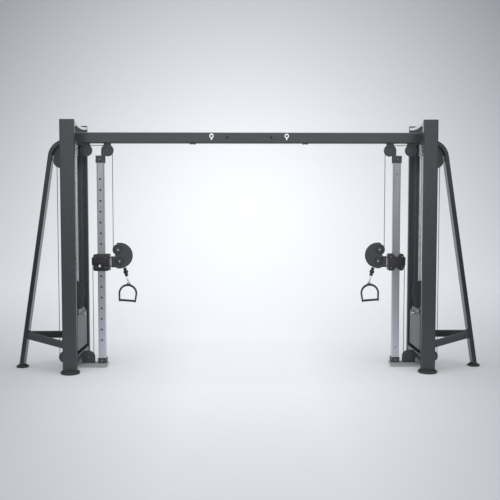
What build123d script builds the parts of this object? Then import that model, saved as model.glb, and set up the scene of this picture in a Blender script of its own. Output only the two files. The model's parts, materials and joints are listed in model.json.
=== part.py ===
from build123d import *
import math
import os

# Cable crossover machine. Millimetres. X runs along the crossbeam, Y is depth, Z is up.
# The origin is on the floor, midway between the two towers. The right tower is the left
# tower turned half a turn about Z, so every tower piece is drawn at the left (-X).

# Uprights and rails
HEIGHT = 2300.0
CAP_T = 4.0
CAP_PLUG = 18.0
CAP_GAP = 0.6
UPRIGHT_X = -1634.0
UPRIGHT_Y = 285.0
UPRIGHT_W = 130.0
UPRIGHT_D = 50.0
UPRIGHT_CORNER = 12.0
WALL = 3.0
FOOT_R = 87.5
FOOT_H = 32.0
FOOT_BEVEL = 7.0
FOOT_STEP = 8.0
FOOT_SHOULDER = 17.0
RAIL_TOP = 2210.0
RAIL_H = 100.0
RAIL_W = 80.0
RAIL_CORNER = 10.0
RAIL_LENGTH = 2 * UPRIGHT_Y - UPRIGHT_D
TIE_H = 24.0
TIE_T = 6.0
TIE_END_Z = 2264.0
TIE_SAG = 20.0
EYE_X = 350.0
EYE_Z = 2176.0
EYE_R = 21.0
EYE_T = 8.0
EYE_BOLT_R = 9.0
STUD_X = 205.0
STUD_Z = 2163.0
STUD_R = 9.0
STUD_T = 3.0
JOINT_X = 527.0
JOINT_W = 56.0
JOINT_T = 6.0
BASE_RAIL_Z = 95.0
BASE_RAIL_H = 60.0
BASE_RAIL_W = 120.0
INNER_FACE_X = UPRIGHT_X + UPRIGHT_W / 2
OUTER_FACE_X = UPRIGHT_X - UPRIGHT_W / 2
BASE_INNER_X = UPRIGHT_X + BASE_RAIL_W / 2
BASE_OUTER_X = UPRIGHT_X - BASE_RAIL_W / 2

# Stabiliser leg
LEG_W = 40.0
LEG_D = 100.0
LEG_CORNER = 8.0
LEG_BEND_R = 156.0
LEG_BEND_X = -1695.0
LEG_BEND_Z = 1971.0
LEG_LEAN = 8.65
LEG_FOOT_R = 59.0
LEG_FOOT_H = 26.0
BRACE_H = 70.0
BRACE_T = 30.0
BRACE_LEG_Z = 308.0
BRACE_POST_Z = 262.0
BRACE_SPREAD = 24.0
BRACE_POST_OUT = 14.0
BRACE_OVERRUN = 30.0

# Column with its row of holes
COLUMN_X = -1390.0
COLUMN_W = 66.0
COLUMN_D = 60.0
COLUMN_BOTTOM = 50.0
COLUMN_TOP = 1988.0
HOLE_PITCH = 101.0
HOLE_COUNT = 16
FIRST_HOLE_Z = 261.0
HOLE_R = 8.0
BRACKET_T = 5.0
BRACKET_W = 80.0
BRACKET_Z = 1928.0
BRACKET_TOP = 1990.0
LOW_BRACKET_H = 50.0
CLAMP_BOLT_R = 7.0
COLUMN_CORNER = 7.0
PLATE_TOP = 42.0
PLATE_T = 24.0
PLATE_D = 100.0
PLATE_END_X = -1342.0
PLATE_INSET = 5.0
RIB_INSET = 10.0
RIB_EDGE = 8.0
RIB_T = 8.0

# Pulleys and cable
CABLE_R = 3.0
PITCH_R = 46.0
RIM = 7.0
SHEAVE_W = 20.0
SHEAVE_LIP = 3.0
GROOVE_GAP = 0.3
AXLE_R = 6.0
BORE_GAP = 0.05
FIT_GAP = 0.2
BOLT_HEAD_R = 9.0
BOLT_HEAD_T = 6.0
SWIVEL_BOLT_T = 5.0
CHEEK_T = 4.0
CHEEK_IN = 12.0
CHEEK_R = 56.0
BACK_CHEEK_R = 72.0
BACK_CHEEK_X = -1756.0
BACK_CHEEK_Z = 1951.0
TOP_Z = 2046.0
A_X = -1524.0
B_X = -1325.0
O_X = -1750.0
O_Z = 1945.0
LOW_X = -1520.0
LOW_Z = 96.0
OUT_X = -1750.0
OUT_Z = 96.0
HANGER_HALF = 14.0
HANGER_TOP = 285.0

# Weight stack
PLATE_PITCH = 25.4
PLATE_GAP = 0.5
STACK_PLATES = 13
STACK_Z = 190.0
STACK_W = 110.0
STACK_L = 400.0
ROD_Y = 65.0
ROD_R = 12.0
ROD_TOP = 2002.0
COLLAR_R = 17.0
COLLAR_RING_R = 21.0
COLLAR_RING_LOW = 14.0
COLLAR_RING_HIGH = 34.0
BUMPER_R = 28.0
ROD_HOLE_GAP = 1.0
ROD_BUSH_GAP = 0.5
STEM_R = 11.0
STEM_GAP = 1.5
SELECTOR_R = 5.0
SELECTOR_KNOB_R = 11.0
SELECTOR_KNOB_L = 26.0
LIFT_R = 67.0
LIFT_X = -1637.0
LIFT_Z = 735.0
HEAD_H = 40.0
HEAD_HALF = 50.0
HEAD_REACH = 130.0
LIFT_EDGE = 16.0
LIFT_FOOT_HALF = 55.0
LIFT_SIDE_HALF = 88.0
LIFT_SPACER_H = 24.0

# Carriage and swivel
CAR_W = 146.0
CAR_X = -1386.0
CAR_D = 110.0
CAR_BOTTOM = 918.0
CAR_H = 158.0
CAR_GAP = 1.5
CAR_CHAMFER = 13.0
CAR_CORNER = 14.0
GLIDE_CORNER = 10.0
EAR_HALF = 12.0
BARREL_HALF = 9.0
WEB_T = 5.5
LUG_HALF = 10.0
PIN_COLLAR_R = 10.0
PIN_KNOB_R = 17.0
PIN_SHANK = 18.0
PIN_COLLAR_END = 24.0
PIN_KNOB_END = 46.0
HINGE_X = -1280.0
HINGE_R = 20.0
EAR_T = 8.0
LUG_W = 23.0
LUG_H = 72.0
ANCHOR_Z = 972.0
EAR_Z = (961.0, 1041.0)
BARREL_Z = (949.0, 1052.0)
HINGE_PIN_R = 5.0
UP_X = -1233.0
UP_Z = 1115.0
DOWN_X = -1219.0
DOWN_Z = 1007.0
DOWN_R = 28.0
HOUSING_X = -1220.0
HOUSING_Z = 1060.0
HOUSING_R = 121.0
HOUSING_CUT_X = -1246.0
UP_LOBE_R = 50.0
DOWN_LOBE_R = 70.0

# Cable end and handle
TILT = 14.0
BALL_AT = 112.0
BALL_R = 20.0
SLEEVE_AT = 74.0
SLEEVE_R = 11.0
NECK_R = 11.0
SHACKLE_AT = 154.0
LINK_AT = 220.0
STRAP_W = 12.0
STRAP_T = 6.0
STRAP_Y = 7.0
LINK_PIN_R = 4.5
HANDLE_TILT = -4.5
ARCH_R = 87.0
BAR_T = 14.0
HANDLE_D = 22.0
HANDLE_TAPER = 7.0
GRIP_DROP = 67.0
GRIP_R = 10.5
GRIP_ROD_R = 5.0
LUG_R = 10.0
LUG_BASE = 22.0
LUG_Y = 6.0
LUG_DROP = 13.0

os.makedirs("parts", exist_ok=True)


def save(part, name):
    """Label one node and write its file."""
    part.label = name
    export_step(part, f"parts/{name}.step")


def save_towers(part, name):
    """Write a moving piece twice: as drawn for the left tower, and turned for the right."""
    save(part, f"left_{name}")
    save(part.rotate(Axis.Z, 180), f"right_{name}")


def both(builder):
    """Add the right tower's copy of what the builder holds."""
    add(builder.part.rotate(Axis.Z, 180))


def front_plane(y):
    """An upright plane across the machine at depth y, its normal facing the front."""
    return Plane.XZ.offset(-y)


def block(x, y, z, mode=Mode.ADD):
    """A rectangular block between two X, two Y and two Z values, in the current builder."""
    with BuildSketch(Plane.XY.offset(z[0])) as outline:
        with Locations(((x[0] + x[1]) / 2, (y[0] + y[1]) / 2)):
            Rectangle(x[1] - x[0], y[1] - y[0])
    extrude(outline.sketch, amount=z[1] - z[0], mode=mode)


def rod_y(x, z, radius, y0, y1, mode=Mode.ADD):
    """A round bar along Y from y0 to y1."""
    with BuildSketch(front_plane(y1)) as outline:
        with Locations((x, z)):
            Circle(radius)
    extrude(outline.sketch, amount=y1 - y0, mode=mode)


def rod_z(x, y, radius, z0, z1, mode=Mode.ADD):
    """A round bar along Z from z0 to z1."""
    with BuildSketch(Plane.XY.offset(z0)) as outline:
        with Locations((x, y)):
            Circle(radius)
    extrude(outline.sketch, amount=z1 - z0, mode=mode)


def foot_disc(x, y, radius, height):
    """A round rubber foot: a flared rim, and a step up to the flat top."""
    with BuildSketch(Plane(origin=(x, y, 0), x_dir=(1, 0, 0), z_dir=(0, -1, 0))) as outline:
        with BuildLine():
            Polyline((0, 0), (radius - FOOT_BEVEL, 0), (radius, FOOT_BEVEL), (radius, height / 2),
                     (radius - FOOT_BEVEL, height - FOOT_STEP), (radius - FOOT_SHOULDER, height - FOOT_STEP),
                     (radius - FOOT_SHOULDER, height), (0, height), close=True)
        make_face()
    revolve(outline.sketch, axis=Axis((x, y, 0), (0, 0, 1)))


def sheave(x, z, pitch_r):
    """A grooved pulley wheel on a Y axle, bored to run on its bolt."""
    groove_r = pitch_r - CABLE_R - GROOVE_GAP
    rim_r = pitch_r + RIM
    half = SHEAVE_W / 2
    with BuildPart() as wheel:
        with BuildSketch(Plane(origin=(x, 0, z), x_dir=(1, 0, 0), z_dir=(0, 0, 1))):
            with BuildLine():
                Polyline(
                    (AXLE_R + BORE_GAP, -half),
                    (rim_r, -half),
                    (rim_r, -half + SHEAVE_LIP),
                    (groove_r, -CABLE_R - 0.5),
                    (groove_r, CABLE_R + 0.5),
                    (rim_r, half - SHEAVE_LIP),
                    (rim_r, half),
                    (AXLE_R + BORE_GAP, half),
                    close=True,
                )
            make_face()
        revolve(axis=Axis((x, 0, z), (0, 1, 0)))
    return wheel.part


# ---- Fixed frame ----------------------------------------------------------------

with BuildPart() as uprights:
    for y in (-UPRIGHT_Y, UPRIGHT_Y):
        with BuildSketch(Plane.XY.offset(FOOT_H)):
            with Locations((UPRIGHT_X, y)):
                RectangleRounded(UPRIGHT_W, UPRIGHT_D, UPRIGHT_CORNER)
                RectangleRounded(UPRIGHT_W - 2 * WALL, UPRIGHT_D - 2 * WALL,
                                 UPRIGHT_CORNER - WALL, mode=Mode.SUBTRACT)
        extrude(amount=HEIGHT - CAP_T - FOOT_H)
    both(uprights)
save(uprights.part, "uprights")

with BuildPart() as upright_caps:
    for y in (-UPRIGHT_Y, UPRIGHT_Y):
        with BuildSketch(Plane.XY.offset(HEIGHT - CAP_T)):
            with Locations((UPRIGHT_X, y)):
                RectangleRounded(UPRIGHT_W, UPRIGHT_D, UPRIGHT_CORNER)
        extrude(amount=CAP_T)
        with BuildSketch(Plane.XY.offset(HEIGHT - CAP_T)):
            with Locations((UPRIGHT_X, y)):
                RectangleRounded(UPRIGHT_W - 2 * WALL - CAP_GAP, UPRIGHT_D - 2 * WALL - CAP_GAP,
                                 UPRIGHT_CORNER - WALL)
        extrude(amount=-CAP_PLUG)
    both(upright_caps)
save(upright_caps.part, "upright_caps")

with BuildPart() as upright_feet:
    for y in (-UPRIGHT_Y, UPRIGHT_Y):
        foot_disc(UPRIGHT_X, y, FOOT_R, FOOT_H)
    both(upright_feet)
save(upright_feet.part, "upright_feet")

with BuildPart() as top_rails:
    with BuildSketch(front_plane(RAIL_LENGTH / 2)):
        with Locations((UPRIGHT_X, RAIL_TOP - RAIL_H / 2)):
            RectangleRounded(RAIL_W, RAIL_H, RAIL_CORNER)
            RectangleRounded(RAIL_W - 2 * WALL, RAIL_H - 2 * WALL, RAIL_CORNER - WALL,
                             mode=Mode.SUBTRACT)
    extrude(amount=RAIL_LENGTH)
    both(top_rails)
save(top_rails.part, "top_rails")

with BuildPart() as top_ties:
    half = RAIL_LENGTH / 2
    with BuildSketch(Plane.YZ.offset(INNER_FACE_X - TIE_T)):
        with BuildLine():
            ThreePointArc((-half, TIE_END_Z), (0, TIE_END_Z - TIE_SAG), (half, TIE_END_Z))
            Line((half, TIE_END_Z), (half, TIE_END_Z + TIE_H))
            ThreePointArc((half, TIE_END_Z + TIE_H), (0, TIE_END_Z + TIE_H - TIE_SAG),
                          (-half, TIE_END_Z + TIE_H))
            Line((-half, TIE_END_Z + TIE_H), (-half, TIE_END_Z))
        make_face()
    extrude(amount=TIE_T)
    both(top_ties)
save(top_ties.part, "top_ties")

with BuildPart() as base_rails:
    with BuildSketch(front_plane(RAIL_LENGTH / 2)):
        with Locations((UPRIGHT_X, BASE_RAIL_Z + BASE_RAIL_H / 2)):
            RectangleRounded(BASE_RAIL_W, BASE_RAIL_H, RAIL_CORNER)
            RectangleRounded(BASE_RAIL_W - 2 * WALL, BASE_RAIL_H - 2 * WALL, RAIL_CORNER - WALL,
                             mode=Mode.SUBTRACT)
    extrude(amount=RAIL_LENGTH)
    both(base_rails)
save(base_rails.part, "base_rails")

with BuildPart() as base_plates:
    block((OUTER_FACE_X + PLATE_INSET, PLATE_END_X), (-PLATE_D / 2, PLATE_D / 2),
          (PLATE_TOP - PLATE_T, PLATE_TOP))
    for y in (-PLATE_D / 2 + RIB_EDGE, PLATE_D / 2 - RIB_EDGE - RIB_T):
        block((OUTER_FACE_X + RIB_INSET, INNER_FACE_X - RIB_INSET), (y, y + RIB_T), (PLATE_TOP, BASE_RAIL_Z))
    both(base_plates)
save(base_plates.part, "base_plates")

with BuildPart() as crossbeam:
    reach = -(UPRIGHT_X + RAIL_W / 2)
    with BuildSketch(Plane.YZ.offset(-reach)):
        with Locations((0, RAIL_TOP - RAIL_H / 2)):
            RectangleRounded(RAIL_W, RAIL_H, RAIL_CORNER)
            RectangleRounded(RAIL_W - 2 * WALL, RAIL_H - 2 * WALL, RAIL_CORNER - WALL,
                             mode=Mode.SUBTRACT)
    extrude(amount=2 * reach)
save(crossbeam.part, "crossbeam")

BEAM_FRONT_Y = -RAIL_W / 2
BEAM_BOTTOM = RAIL_TOP - RAIL_H

with BuildPart() as beam_bolts:
    for x in (-EYE_X, EYE_X):
        rod_y(x, EYE_Z, EYE_R, BEAM_FRONT_Y - EYE_T, BEAM_FRONT_Y)
        rod_y(x, EYE_Z, EYE_BOLT_R, BEAM_FRONT_Y - 2 * EYE_T, BEAM_FRONT_Y - EYE_T)
    for x in (-STUD_X, STUD_X):
        rod_y(x, STUD_Z, STUD_R, BEAM_FRONT_Y - STUD_T, BEAM_FRONT_Y)
    for x in (-JOINT_X, JOINT_X):
        block((x - JOINT_W / 2, x + JOINT_W / 2), (BEAM_FRONT_Y + RAIL_CORNER, -BEAM_FRONT_Y - RAIL_CORNER),
              (BEAM_BOTTOM - JOINT_T, BEAM_BOTTOM))
save(beam_bolts.part, "beam_bolts")

lean = math.radians(LEG_LEAN)


def leg_point(angle):
    """A point of the leg's bend, angle in degrees above level, seen from the bend's centre."""
    a = math.radians(angle)
    return (LEG_BEND_X - LEG_BEND_R * math.cos(a), 0, LEG_BEND_Z + LEG_BEND_R * math.sin(a))


bend_end = leg_point(LEG_LEAN)
drop = bend_end[2] - LEG_FOOT_H
leg_foot = (bend_end[0] - drop * math.tan(lean), 0, LEG_FOOT_H)
RAIL_OUT_X = UPRIGHT_X - RAIL_W / 2
leg_top = (RAIL_OUT_X, 0, LEG_BEND_Z + LEG_BEND_R)

with BuildPart() as stabiliser_legs:
    with BuildLine() as leg_path:
        Line(leg_top, leg_point(90))
        ThreePointArc(leg_point(90), leg_point((90 + LEG_LEAN) / 2), bend_end)
        Line(bend_end, (leg_foot[0] - 10 * math.tan(lean), 0, leg_foot[2] - 10))
    with BuildSketch(Plane(origin=leg_top, x_dir=(0, 1, 0), z_dir=(-1, 0, 0))):
        RectangleRounded(LEG_D, LEG_W, LEG_CORNER)
        RectangleRounded(LEG_D - 2 * WALL, LEG_W - 2 * WALL, LEG_CORNER - WALL,
                         mode=Mode.SUBTRACT)
    sweep(path=leg_path.wire())
    split(bisect_by=Plane.XY.offset(LEG_FOOT_H), keep=Keep.TOP)
    both(stabiliser_legs)
save(stabiliser_legs.part, "stabiliser_legs")

with BuildPart() as leg_feet:
    foot_disc(leg_foot[0], 0, LEG_FOOT_R, LEG_FOOT_H)
    both(leg_feet)
save(leg_feet.part, "leg_feet")

LEG_INNER_X = (bend_end[0] - (bend_end[2] - BRACE_LEG_Z) * math.tan(lean)
               + LEG_W / 2 / math.cos(lean) + FIT_GAP / 2)
with BuildPart() as leg_braces:
    for turn in (-1, 1):
        foot_end = Vector(LEG_INNER_X - BRACE_OVERRUN / 5, turn * BRACE_SPREAD, BRACE_LEG_Z)
        post_end = Vector(OUTER_FACE_X + BRACE_OVERRUN, turn * (UPRIGHT_Y + BRACE_POST_OUT), BRACE_POST_Z)
        along = (post_end - foot_end).normalized()
        with BuildSketch(Plane(origin=foot_end, x_dir=(-along.Y, along.X, 0), z_dir=along)):
            RectangleRounded(BRACE_T, BRACE_H, BRACE_T / 2 - 1)
        extrude(amount=(post_end - foot_end).length)
    split(bisect_by=Plane.YZ.offset(OUTER_FACE_X), keep=Keep.BOTTOM)
    leg_face = Plane(origin=(LEG_INNER_X, 0, BRACE_LEG_Z), z_dir=(math.cos(lean), 0, -math.sin(lean)))
    split(bisect_by=leg_face, keep=Keep.TOP)
    both(leg_braces)
save(leg_braces.part, "leg_braces")

with BuildPart() as columns:
    with BuildSketch(Plane.XY.offset(COLUMN_BOTTOM)):
        with Locations((COLUMN_X, 0)):
            RectangleRounded(COLUMN_W, COLUMN_D, COLUMN_CORNER)
            RectangleRounded(COLUMN_W - 2 * WALL, COLUMN_D - 2 * WALL, COLUMN_CORNER - WALL,
                             mode=Mode.SUBTRACT)
    extrude(amount=COLUMN_TOP - COLUMN_BOTTOM)
    for index in range(HOLE_COUNT):
        rod_y(COLUMN_X, FIRST_HOLE_Z + index * HOLE_PITCH, HOLE_R, -COLUMN_D, 0, mode=Mode.SUBTRACT)
    both(columns)
save(columns.part, "columns")

CLAMP_X = (COLUMN_X - BRACKET_W / 2, COLUMN_X + BRACKET_W / 2)
CLAMP_IN_Y = COLUMN_D / 2 + FIT_GAP / 2
CLAMP_OUT_Y = COLUMN_D / 2 + BRACKET_T
with BuildPart() as column_brackets:
    for z0, z1 in ((BRACKET_Z, BRACKET_TOP), (PLATE_TOP, PLATE_TOP + LOW_BRACKET_H)):
        mid_z = (z0 + z1) / 2
        block(CLAMP_X, (-CLAMP_OUT_Y, -CLAMP_IN_Y), (z0, z1))
        block(CLAMP_X, (CLAMP_IN_Y, CLAMP_OUT_Y), (z0, z1))
        rod_y(COLUMN_X, mid_z, CLAMP_BOLT_R, -CLAMP_OUT_Y - BRACKET_T, -CLAMP_OUT_Y)
        rod_y(COLUMN_X, mid_z, CLAMP_BOLT_R, CLAMP_OUT_Y, CLAMP_OUT_Y + BRACKET_T)
    block(CLAMP_X, (-CLAMP_OUT_Y, CLAMP_OUT_Y), (BRACKET_TOP, BRACKET_TOP + BRACKET_T))
    both(column_brackets)
save(column_brackets.part, "column_brackets")


def cheek(shape_points, radius, center, y_pair):
    """Two flat side plates with a round end about a pulley centre, one each side of it."""
    for y in y_pair:
        with BuildSketch(front_plane(y)) as outline:
            with BuildLine():
                Polyline(*shape_points, close=True)
            make_face()
            with Locations(center):
                Circle(radius)
        extrude(outline.sketch, amount=CHEEK_T)


CHEEK_OUT = CHEEK_IN + CHEEK_T
CHEEK_YS = (-CHEEK_IN, CHEEK_OUT)
COVER_FOOT = BRACKET_TOP + BRACKET_T + FIT_GAP
HOUSING_EDGE = BASE_INNER_X + FIT_GAP
LOW_TOP = LOW_Z + CHEEK_R
UNDER_BEND_R = LEG_BEND_R - LEG_W / 2 - FIT_GAP

# The rear cover fills the corner under the leg's bend, from low on the bend round to its top.
under_bend = []
for step in range(11):
    bend_angle = math.radians(10 + 8 * step)
    under_bend.append((LEG_BEND_X - UNDER_BEND_R * math.cos(bend_angle),
                       LEG_BEND_Z + UNDER_BEND_R * math.sin(bend_angle)))

with BuildPart() as pulley_covers:
    cheek([(A_X - 50, TOP_Z), (A_X + 50, TOP_Z), (A_X + 34, BEAM_BOTTOM), (A_X - 34, BEAM_BOTTOM)],
          CHEEK_R, (A_X, TOP_Z), CHEEK_YS)
    cheek([(B_X - CHEEK_R, TOP_Z), (B_X - CHEEK_R, COVER_FOOT), (B_X - 12, COVER_FOOT),
           (B_X + 32, TOP_Z), (B_X + 32, BEAM_BOTTOM), (B_X - 32, BEAM_BOTTOM), (B_X - 32, TOP_Z)],
          CHEEK_R, (B_X, TOP_Z), CHEEK_YS)
    cheek(under_bend + [(RAIL_OUT_X - FIT_GAP, under_bend[-1][1]), (UPRIGHT_X - 26, BEAM_BOTTOM),
                        (UPRIGHT_X + 10, BEAM_BOTTOM), (O_X + 50, O_Z - 30)],
          BACK_CHEEK_R, (BACK_CHEEK_X, BACK_CHEEK_Z), CHEEK_YS)
    cheek([(HOUSING_EDGE, PLATE_TOP), (LOW_X + CHEEK_R, PLATE_TOP), (LOW_X + CHEEK_R, LOW_Z),
           (LOW_X, LOW_TOP), (HOUSING_EDGE, LOW_TOP)], CHEEK_R, (LOW_X, LOW_Z), CHEEK_YS)
    block((OUTER_FACE_X, HOUSING_EDGE), (-20, 20), (0, LOW_TOP + 50), mode=Mode.SUBTRACT)
    split(bisect_by=Plane.XY.offset(PLATE_TOP), keep=Keep.TOP)
    for x, z in ((A_X, TOP_Z), (B_X, TOP_Z), (O_X, O_Z), (LOW_X, LOW_Z)):
        rod_y(x, z, AXLE_R + BORE_GAP, -CHEEK_OUT, CHEEK_OUT, mode=Mode.SUBTRACT)
    both(pulley_covers)
save(pulley_covers.part, "pulley_covers")

with BuildPart() as pulley_bolts:
    half = CHEEK_OUT
    for x, z in ((A_X, TOP_Z), (B_X, TOP_Z), (O_X, O_Z), (LOW_X, LOW_Z), (OUT_X, OUT_Z)):
        rod_y(x, z, AXLE_R, -half, half)
        rod_y(x, z, BOLT_HEAD_R, -half - BOLT_HEAD_T, -half)
        rod_y(x, z, BOLT_HEAD_R, half, half + BOLT_HEAD_T)
    both(pulley_bolts)
save(pulley_bolts.part, "pulley_bolts")

with BuildPart() as pulley_hangers:
    for y in CHEEK_YS:
        with BuildSketch(front_plane(y)):
            with BuildLine():
                Polyline((OUT_X - HANGER_HALF, OUT_Z - 12), (OUT_X + HANGER_HALF, OUT_Z - 12),
                         (BASE_OUTER_X, BASE_RAIL_Z + 8), (BASE_OUTER_X, BASE_RAIL_Z + 50),
                         (OUT_X + 6, BASE_RAIL_Z + 60),
                         (OUT_X - 4, HANGER_TOP), (OUT_X - 20, HANGER_TOP), close=True)
            make_face()
        extrude(amount=CHEEK_T)
    rod_y(OUT_X, OUT_Z, AXLE_R + BORE_GAP, -CHEEK_OUT, CHEEK_OUT, mode=Mode.SUBTRACT)
    both(pulley_hangers)
save(pulley_hangers.part, "pulley_hangers")

# ---- Weight stack ---------------------------------------------------------------

RAIL_UP_Z = BASE_RAIL_Z + BASE_RAIL_H

with BuildPart() as guide_rods:
    for y in (-ROD_Y, ROD_Y):
        rod_z(UPRIGHT_X, y, ROD_R, RAIL_UP_Z, ROD_TOP)
    both(guide_rods)
save(guide_rods.part, "guide_rods")

with BuildPart() as rod_collars:
    for y in (-ROD_Y, ROD_Y):
        rod_z(UPRIGHT_X, y, COLLAR_R, ROD_TOP, BEAM_BOTTOM)
        rod_z(UPRIGHT_X, y, COLLAR_RING_R, ROD_TOP + COLLAR_RING_LOW, ROD_TOP + COLLAR_RING_HIGH)
    both(rod_collars)
save(rod_collars.part, "rod_collars")

with BuildPart() as stack_bumpers:
    for y in (-ROD_Y, ROD_Y):
        rod_z(UPRIGHT_X, y, BUMPER_R, RAIL_UP_Z, STACK_Z)
        rod_z(UPRIGHT_X, y, ROD_R + ROD_BUSH_GAP, RAIL_UP_Z, STACK_Z, mode=Mode.SUBTRACT)
    both(stack_bumpers)
save(stack_bumpers.part, "stack_bumpers")


def weight_plate(index, stem_hole=True):
    """One plate of the stack, counted from the bottom, drilled for the rods and the stem."""
    z = STACK_Z + index * PLATE_PITCH
    top = z + PLATE_PITCH - PLATE_GAP
    block((UPRIGHT_X - STACK_W / 2, UPRIGHT_X + STACK_W / 2), (-STACK_L / 2, STACK_L / 2), (z, top))
    for y in (-ROD_Y, ROD_Y):
        rod_z(UPRIGHT_X, y, ROD_R + ROD_HOLE_GAP, z, top, mode=Mode.SUBTRACT)
    if stem_hole:
        rod_z(UPRIGHT_X, 0, STEM_R + STEM_GAP, z, top, mode=Mode.SUBTRACT)


with BuildPart() as resting_plates:
    for index in range(STACK_PLATES - 1):
        weight_plate(index)
    both(resting_plates)
save(resting_plates.part, "resting_plates")

STACK_TOP = STACK_Z + STACK_PLATES * PLATE_PITCH
SELECTOR_Z = STACK_TOP - PLATE_PITCH / 2

with BuildPart() as head_plate:
    weight_plate(STACK_PLATES - 1, stem_hole=False)
    block((UPRIGHT_X - HEAD_HALF, UPRIGHT_X + HEAD_HALF), (-HEAD_REACH, HEAD_REACH),
          (STACK_TOP, STACK_TOP + HEAD_H))
    for y in (-ROD_Y, ROD_Y):
        rod_z(UPRIGHT_X, y, ROD_R + ROD_BUSH_GAP, STACK_TOP, STACK_TOP + HEAD_H, mode=Mode.SUBTRACT)
    rod_z(UPRIGHT_X, 0, STEM_R, STACK_Z + 8, STACK_TOP)
    with BuildSketch(Plane.YZ.offset(UPRIGHT_X)):
        with Locations((0, SELECTOR_Z)):
            Circle(SELECTOR_R + 0.3)
    extrude(amount=STACK_W, mode=Mode.SUBTRACT)
save_towers(head_plate.part, "head_plate")

with BuildPart() as selector_pin:
    with BuildSketch(Plane.YZ.offset(UPRIGHT_X + 2)):
        with Locations((0, SELECTOR_Z)):
            Circle(SELECTOR_R)
    extrude(amount=STACK_W / 2 + 6)
    with BuildSketch(Plane.YZ.offset(UPRIGHT_X + STACK_W / 2 + 4)):
        with Locations((0, SELECTOR_Z)):
            Circle(SELECTOR_KNOB_R)
    extrude(amount=SELECTOR_KNOB_L)
    chamfer(selector_pin.edges().group_by(Axis.X)[-1], 3)
save_towers(selector_pin.part, "selector_pin")

HEAD_TOP = STACK_TOP + HEAD_H
with BuildPart() as lift_block:
    cheek([(LIFT_X - LIFT_FOOT_HALF, HEAD_TOP), (LIFT_X + LIFT_FOOT_HALF, HEAD_TOP),
           (LIFT_X + LIFT_SIDE_HALF, LIFT_Z), (LIFT_X - LIFT_SIDE_HALF, LIFT_Z)],
          LIFT_R + LIFT_EDGE, (LIFT_X, LIFT_Z), CHEEK_YS)
    rod_y(LIFT_X, LIFT_Z, AXLE_R, -CHEEK_OUT, CHEEK_OUT)
    rod_y(LIFT_X, LIFT_Z, BOLT_HEAD_R, -CHEEK_OUT - BOLT_HEAD_T, -CHEEK_OUT)
    rod_y(LIFT_X, LIFT_Z, BOLT_HEAD_R, CHEEK_OUT, CHEEK_OUT + BOLT_HEAD_T)
    block((LIFT_X - HEAD_HALF, LIFT_X + HEAD_HALF), (-CHEEK_IN, CHEEK_IN),
          (HEAD_TOP, HEAD_TOP + LIFT_SPACER_H))
save_towers(lift_block.part, "lift_block")
save_towers(sheave(LIFT_X, LIFT_Z, LIFT_R), "lift_sheave")
for x, z, name in ((A_X, TOP_Z, "outer_top_sheave"), (B_X, TOP_Z, "inner_top_sheave"),
                   (O_X, O_Z, "back_top_sheave"), (LOW_X, LOW_Z, "inner_low_sheave"),
                   (OUT_X, OUT_Z, "back_low_sheave")):
    save_towers(sheave(x, z, PITCH_R), name)

# ---- Carriage -------------------------------------------------------------------

PIN_Z = FIRST_HOLE_Z + 7 * HOLE_PITCH
PIN_R = 7.0
GLIDE_H = 22.0
GLIDE_T = 6.0
CAR_TOP = CAR_BOTTOM + CAR_H
CAR_IN_X = CAR_X + CAR_W / 2
CAR_OUT_X = CAR_X - CAR_W / 2

with BuildPart() as carriage:
    with BuildSketch(Plane.XY.offset(CAR_BOTTOM)):
        with Locations((CAR_X, 0)):
            RectangleRounded(CAR_W, CAR_D, CAR_CORNER)
        with Locations((COLUMN_X, 0)):
            RectangleRounded(COLUMN_W + 2 * CAR_GAP, COLUMN_D + 2 * CAR_GAP, COLUMN_CORNER + 1,
                             mode=Mode.SUBTRACT)
    extrude(amount=CAR_H)
    chamfer(carriage.faces().sort_by(Axis.Z)[-1].outer_wire().edges().filter_by(Axis.Y), CAR_CHAMFER)
    chamfer(carriage.faces().sort_by(Axis.Z)[0].outer_wire().edges().filter_by(Axis.Y), CAR_CHAMFER)
    for z0 in (CAR_BOTTOM, CAR_TOP - GLIDE_H):
        with BuildSketch(Plane.XY.offset(z0)):
            with Locations((COLUMN_X, 0)):
                RectangleRounded(COLUMN_W + 2 * GLIDE_T, COLUMN_D + 2 * GLIDE_T, GLIDE_CORNER)
        extrude(amount=GLIDE_H, mode=Mode.SUBTRACT)
    rod_y(COLUMN_X, PIN_Z, PIN_R + BORE_GAP, -CAR_D, 0, mode=Mode.SUBTRACT)
    for z in EAR_Z:
        block((CAR_IN_X - 2, HINGE_X), (-EAR_HALF, EAR_HALF), (z - EAR_T / 2, z + EAR_T / 2))
        rod_z(HINGE_X, 0, HINGE_R - 3, z - EAR_T / 2, z + EAR_T / 2)
    rod_z(HINGE_X, 0, HINGE_PIN_R, BARREL_Z[0], BARREL_Z[1])
    block((CAR_OUT_X - LUG_W, CAR_OUT_X + 2), (-LUG_HALF, LUG_HALF), (ANCHOR_Z, ANCHOR_Z + LUG_H))
    for z0 in (CAR_BOTTOM, CAR_TOP - GLIDE_H):
        with BuildSketch(Plane.XY.offset(z0)):
            with Locations((COLUMN_X, 0)):
                RectangleRounded(COLUMN_W + 2 * (GLIDE_T - FIT_GAP), COLUMN_D + 2 * (GLIDE_T - FIT_GAP),
                                 GLIDE_CORNER - FIT_GAP)
                RectangleRounded(COLUMN_W + 4 * FIT_GAP, COLUMN_D + 4 * FIT_GAP, COLUMN_CORNER,
                                 mode=Mode.SUBTRACT)
        extrude(amount=GLIDE_H - 2 * FIT_GAP)
save_towers(carriage.part, "carriage")

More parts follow.
